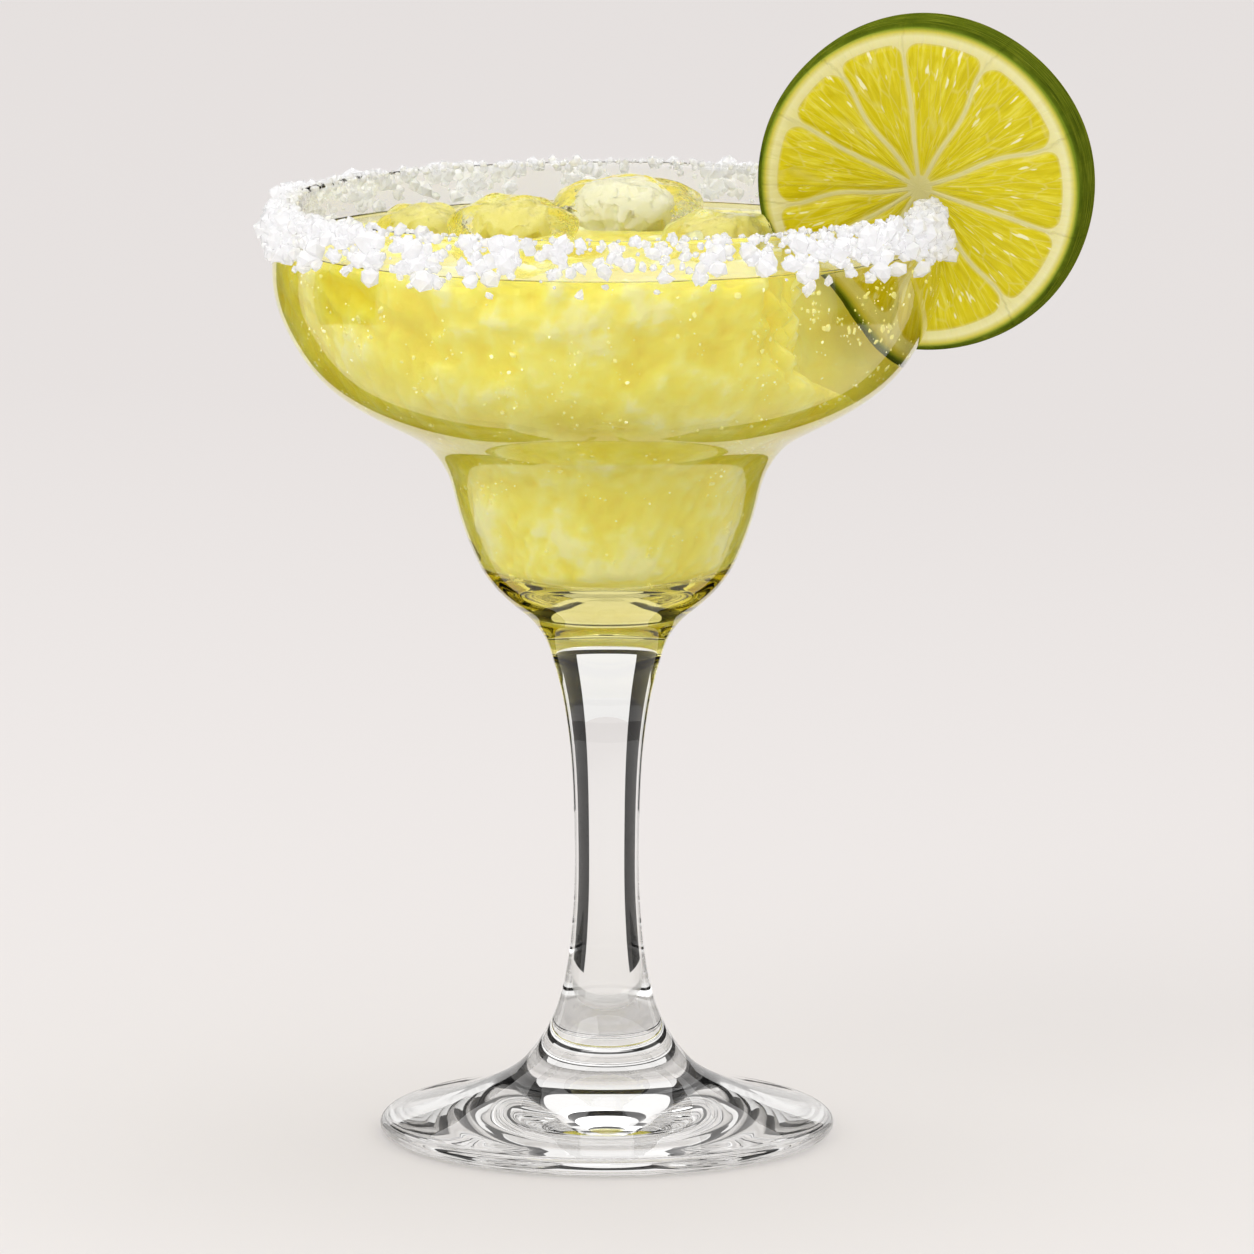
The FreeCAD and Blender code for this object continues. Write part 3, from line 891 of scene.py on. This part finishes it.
# %% Cut the slit with the shape of the glass wall
SLIT_ROOM = 0.05
wall_low = 134.0
outer_part = outer_curve[outer_curve[:, 1] > wall_low]
inner_part = inner_curve[inner_curve[:, 1] > wall_low]
ring = np.vstack([pushed_out(outer_part, SLIT_ROOM), [(lip_middle, GLASS_HEIGHT + SLIT_ROOM)],
                  pushed_out(inner_part, -SLIT_ROOM)[::-1]])
spread = np.linspace(-0.45, 0.55, 60)
wall_verts = [(r * math.cos(a), r * math.sin(a), z) for a in spread for r, z in ring]
wall_faces = grid_faces(len(spread), len(ring))
wall_faces += [tuple(range(len(ring)))[::-1],
               tuple(range((len(spread) - 1) * len(ring), len(spread) * len(ring)))]
cutter = mesh_object("slit_cutter", wall_verts, wall_faces, smooth=False)
cut = lime.modifiers.new("slit", "BOOLEAN")
cut.object, cut.operation, cut.solver = cutter, "DIFFERENCE", "EXACT"
bpy.context.view_layer.update()
evaluated = lime.evaluated_get(bpy.context.evaluated_depsgraph_get())
sliced = bpy.data.meshes.new_from_object(evaluated)
lime.modifiers.clear()
lime.data = sliced
bpy.data.objects.remove(cutter)
print("lime after the slit:", len(sliced.vertices))

# %% Measure the lime's surface for its paint
co = np.empty(len(sliced.vertices) * 3)
sliced.vertices.foreach_get("co", co)
back = np.array(lime_place.inverted())
local = (co.reshape(-1, 3) * 1000) @ back[:3, :3].T + back[:3, 3]
r, near, segment = lime_facts(local[:, 0], local[:, 1])
a = np.arctan2(local[:, 1], local[:, 0])
set_attribute(lime, "radius_mm", r)
set_attribute(lime, "inside_mm", pulp_inside(r, near))
set_attribute(lime, "across_mm", a * 24)
set_attribute(lime, "segment", segment)
set_attribute(lime, "depth_mm", LIME_THICKNESS / 2 - np.abs(local[:, 2]))

# %% [markdown]
# A lime's pulp is packed with long juice cells that point to the middle. Ordinary textures are
# the same in all directions, so the paint uses places measured on the wheel itself: how far
# out, how far round and which segment, drawn out along the segments.

# %% Places on the lime
lime_paint, nodes, links, shader = material("lime_flesh_and_rind")
radius_in = attribute(nodes, "radius_mm")
inside_in = attribute(nodes, "inside_mm")
depth_in = attribute(nodes, "depth_mm")
joined = node(nodes, "CombineXYZ")
for socket, source in (("X", attribute(nodes, "across_mm")), ("Y", radius_in),
                       ("Z", calc(nodes, links, "MULTIPLY", attribute(nodes, "segment"), 7.0))):
    links.new(source, joined.inputs[socket])


def along_segments(texture, stretch, **values):
    """A texture drawn out from the middle of the wheel to its edge."""
    mapping = node(nodes, "Mapping")
    put(mapping, Scale=stretch)
    put(texture, **values)
    links.new(joined.outputs[0], mapping.inputs["Vector"])
    links.new(mapping.outputs[0], texture.inputs["Vector"])
    return texture


# %% Juice cells and streaks
sacs = along_segments(node(nodes, "TexVoronoi", feature="DISTANCE_TO_EDGE"),
                      (0.42, 0.13, 1.0), Scale=1.0).outputs["Distance"]
streaks = along_segments(node(nodes, "TexNoise"), (1.1, 0.16, 1.0), Scale=1.0, Detail=4.0,
                         Roughness=0.6, Distortion=0.6).outputs["Fac"]
deep_colour = ramp(nodes, links, streaks, [
    (0.30, (0.60, 0.50, 0.004)), (0.52, (0.70, 0.60, 0.010)), (0.70, (0.80, 0.72, 0.08))])
veins = ramp(nodes, links, sacs, [(0.0, (1, 1, 1)), (0.05, (0, 0, 0))])
vein_strength = calc(nodes, links, "MULTIPLY", veins, 0.30)
pulp = mix(nodes, links, vein_strength, deep_colour, (0.80, 0.73, 0.28))

# %% Painted glints (pale highlights) in the outer half, and the skin of each segment
glints = along_segments(node(nodes, "TexNoise"), (0.85, 0.22, 1.0), Scale=1.0, Detail=2.0,
                        Roughness=0.4).outputs["Fac"]
# The glints are painted highlights, mixed into the pulp's base colour.
glint = ramp(nodes, links, glints, [(0.655, (0, 0, 0)), (0.70, (1, 1, 1))])
outer_half = ramp(nodes, links, calc(nodes, links, "DIVIDE", radius_in, LIME_RADIUS), [
    (0.30, (0.25, 0.25, 0.25)), (0.70, (1, 1, 1))])
glint = calc(nodes, links, "MULTIPLY", glint, outer_half)
pulp = mix(nodes, links, calc(nodes, links, "MULTIPLY", glint, 0.85), pulp, (0.93, 0.91, 0.62))
skin = ramp(nodes, links, inside_in, [
    (0.0, (1, 1, 1)), (0.18, (0.35, 0.35, 0.35)), (0.5, (0, 0, 0))])
flesh = mix(nodes, links, skin, pulp, (0.80, 0.73, 0.30))

# %% Pith, from cream to the green line of the zest
pith_place = calc(nodes, links, "DIVIDE", radius_in, LIME_RADIUS + 1.0)
pith_colour = ramp(nodes, links, pith_place, [
    (0.0, (0.74, 0.68, 0.30)), (0.85, (0.80, 0.75, 0.36)), (0.895, (0.84, 0.80, 0.44)),
    (0.925, (0.66, 0.60, 0.10)), (0.945, (0.20, 0.27, 0.02)), (0.97, (0.07, 0.13, 0.008))])
is_pulp = ramp(nodes, links, inside_in, [(0.0, (0, 0, 0)), (0.06, (1, 1, 1))])
face_colour = mix(nodes, links, is_pulp, pith_colour, flesh)

# %% Rind
rind = node(nodes, "TexNoise")
put(rind, Scale=1.6, Detail=4.0, Roughness=0.65)
along = node(nodes, "CombineXYZ")
links.new(calc(nodes, links, "MULTIPLY", attribute(nodes, "across_mm"), 0.10), along.inputs["X"])
links.new(calc(nodes, links, "MULTIPLY", depth_in, 1.6), along.inputs["Y"])
links.new(along.outputs[0], rind.inputs["Vector"])
rind_colour = ramp(nodes, links, rind.outputs["Fac"], [
    (0.30, (0.030, 0.046, 0.003)), (0.50, (0.085, 0.115, 0.006)), (0.70, (0.19, 0.22, 0.018))])
is_rind = ramp(nodes, links, depth_in, [(0.25, (0, 0, 0)), (0.5, (1, 1, 1))])
outside = calc(nodes, links, "GREATER_THAN", radius_in, LIME_RADIUS - 0.75)
is_rind = calc(nodes, links, "MULTIPLY", is_rind, outside)
colour = mix(nodes, links, is_rind, face_colour, rind_colour)
links.new(colour, shader.inputs["Base Color"])

# %% Wet pulp, dry rind and fine relief
put(shader, Roughness=0.3, Specular_IOR_Level=0.0, Coat_Roughness=0.12,
    Subsurface_Weight=0.3, Subsurface_Scale=0.002, Subsurface_Radius=(1.0, 0.8, 0.2))
links.new(calc(nodes, links, "MULTIPLY", is_pulp, 0.35), shader.inputs["Coat Weight"])
pulp_relief = calc(nodes, links, "ADD", sacs, calc(nodes, links, "MULTIPLY", streaks, 0.8))
rind_relief = calc(nodes, links, "MULTIPLY", rind.outputs["Fac"], is_rind)
relief = calc(nodes, links, "ADD", pulp_relief, rind_relief)
roughen(nodes, links, shader, relief, 0.5, 0.0006)
lime_nodes = ["lime_peel", "lime_segment_inside", "lime_segment_outside"]
lime_nodes += ["lime_segment_%d" % (i + 1) for i in range(9)]
finish_piece(lime, lime_paint, "lime_pulp", *lime_nodes)

# %% [markdown]
# ## Stage, light and camera
# An even, bright sky and two wide suns give soft light with faint shadows. Clear glass has no
# colour of its own and shows only what stands round it, so on a pale stage it would nearly
# vanish. Dark cards and rings draw the dark lines along its edges. They show only through
# clear pieces and in their shine.

# %% Floor
FLOOR_HALF, FLOOR_BELOW = 7, 0.0002
floor_mesh = bpy.data.meshes.new("floor")
floor_mesh.from_pydata([(-FLOOR_HALF, -FLOOR_HALF, 0), (FLOOR_HALF, -FLOOR_HALF, 0),
                        (FLOOR_HALF, FLOOR_HALF, 0), (-FLOOR_HALF, FLOOR_HALF, 0)],
                       [], [(0, 1, 2, 3)])
floor = link_object("floor", floor_mesh)
floor.location.z = -FLOOR_BELOW
floor_paint, nodes, links, shader = material("pale_floor")
put(shader, Roughness=0.6, Specular_IOR_Level=0.0)
# The floor's colour is painted lighter at the front left and darker further back: a painted
# falloff of light.
place = node(nodes, "SeparateXYZ")
links.new(node(nodes, "TexCoord").outputs["Object"], place.inputs[0])
away = calc(nodes, links, "MULTIPLY_ADD", place.outputs["X"], 0.45)
links.new(place.outputs["Y"], away.node.inputs[2])
share = node(nodes, "MapRange")
put(share, From_Min=-0.25, From_Max=2.0)
links.new(away, share.inputs["Value"])
links.new(ramp(nodes, links, share.outputs[0], [
    (0.0, (0.735, 0.712, 0.703)), (0.12, (0.69, 0.667, 0.659)), (0.5, (0.622, 0.599, 0.594)),
    (1.0, (0.61, 0.588, 0.583))]), shader.inputs["Base Color"])
floor.data.materials.append(floor_paint)
print("floor", 2 * FLOOR_HALF, "metres wide")

# %% Light
world = bpy.context.scene.world or bpy.data.worlds.new("world")
bpy.context.scene.world = world
world.use_nodes = True
nodes, links = world.node_tree.nodes, world.node_tree.links
sky = nodes["Background"]
parts = node(nodes, "SeparateXYZ")
links.new(node(nodes, "TexCoord").outputs["Generated"], parts.inputs[0])
height = calc(nodes, links, "MULTIPLY_ADD", parts.outputs["Z"], 0.5)
height.node.inputs[2].default_value = 0.5
links.new(ramp(nodes, links, height, [
    (0.45, (0.80, 0.79, 0.78)), (0.60, (0.90, 0.885, 0.875)), (1.0, (1.0, 0.985, 0.975))]),
    sky.inputs["Color"])
sky.inputs["Strength"].default_value = 1.04
GLASS_BOUNCES, SOFT_BOUNCES = 32, 6
bounce = bpy.context.scene.cycles
bounce.max_bounces = bounce.transmission_bounces = GLASS_BOUNCES
bounce.transparent_max_bounces = bounce.glossy_bounces = GLASS_BOUNCES
bounce.diffuse_bounces = SOFT_BOUNCES


def soft_sun(name, place, spread, power):
    """A wide, soft, distant light shining from the direction of place."""
    lamp = bpy.data.lights.new(name, "SUN")
    lamp.angle, lamp.energy = math.radians(spread), power
    light = link_object(name, lamp)
    light.location = place
    light.rotation_euler = Vector(place).to_track_quat("Z", "Y").to_euler()
    print(name, "power", power)


soft_sun("key_left", (-1.0, -1.0, 1.1), 40, 0.6)
soft_sun("top_back", (0.3, 0.6, 1.5), 60, 0.6)

# %% Dark cards
CARD_STEPS, RING_STEPS = 13, 96
CARD_RISE = 0.0004
card_paint, nodes, links, shader = material("dark_card")
put(shader, Base_Color=(0.01, 0.01, 0.01, 1), Roughness=1.0, Specular_IOR_Level=0.0)


def stand_card(name, verts, faces):
    """A dark card that shows only through clear pieces and in their shine."""
    mesh = bpy.data.meshes.new(name)
    mesh.from_pydata(verts, [], faces)
    card = link_object(name, mesh)
    card.data.materials.append(card_paint)
    card.visible_camera = card.visible_diffuse = card.visible_shadow = False
    print(name, "with", len(faces), "faces")


def dark_card(name, start, stop, near, far=2.6, tall=0.9):
    """A strip lying on the floor between two bearings in degrees, turned up at its end."""
    corners = ((near, CARD_RISE), (far, CARD_RISE), (far, tall))
    verts = [(d * math.sin(a), d * math.cos(a), z)
             for a in np.radians(np.linspace(start, stop, CARD_STEPS)) for d, z in corners]
    stand_card(name, verts, grid_faces(CARD_STEPS, len(corners), close=False))


def dark_ring(name, low, high, reach=2.0):
    """A ring all round the glass, seen from it between two heights in degrees."""
    verts = [(reach * math.cos(up) * math.sin(a), reach * math.cos(up) * math.cos(a),
              reach * math.sin(up)) for up in np.radians((low, high))
             for a in np.linspace(0, TAU, RING_STEPS, endpoint=False)]
    stand_card(name, verts, grid_faces(2, RING_STEPS))


dark_card("card_right", 23, 50, 0.06)
dark_card("card_left", -50, -23, 0.06)
dark_card("card_far_right", 62, 96, 0.4)
dark_card("card_far_left", -96, -62, 0.4)
dark_ring("ring_low", 17, 27)
dark_ring("ring_middle", 42, 49)
dark_ring("ring_high", 63, 70)

# %% [markdown]
# A long lens from nearly two metres, looking down a little, keeps the rim and foot nearly flat.

# %% Camera
LENS, LOOK_DOWN = 293.46, 9.488
camera = link_object("camera", bpy.data.cameras.new("camera"))
camera.data.lens = LENS
camera.data.clip_end = 30
camera.location = (0.00357, -1.77443, 0.38682)
camera.rotation_euler = (math.radians(90 - LOOK_DOWN), 0, 0)
bpy.context.scene.camera = camera
bpy.context.scene.view_settings.view_transform = "Standard"
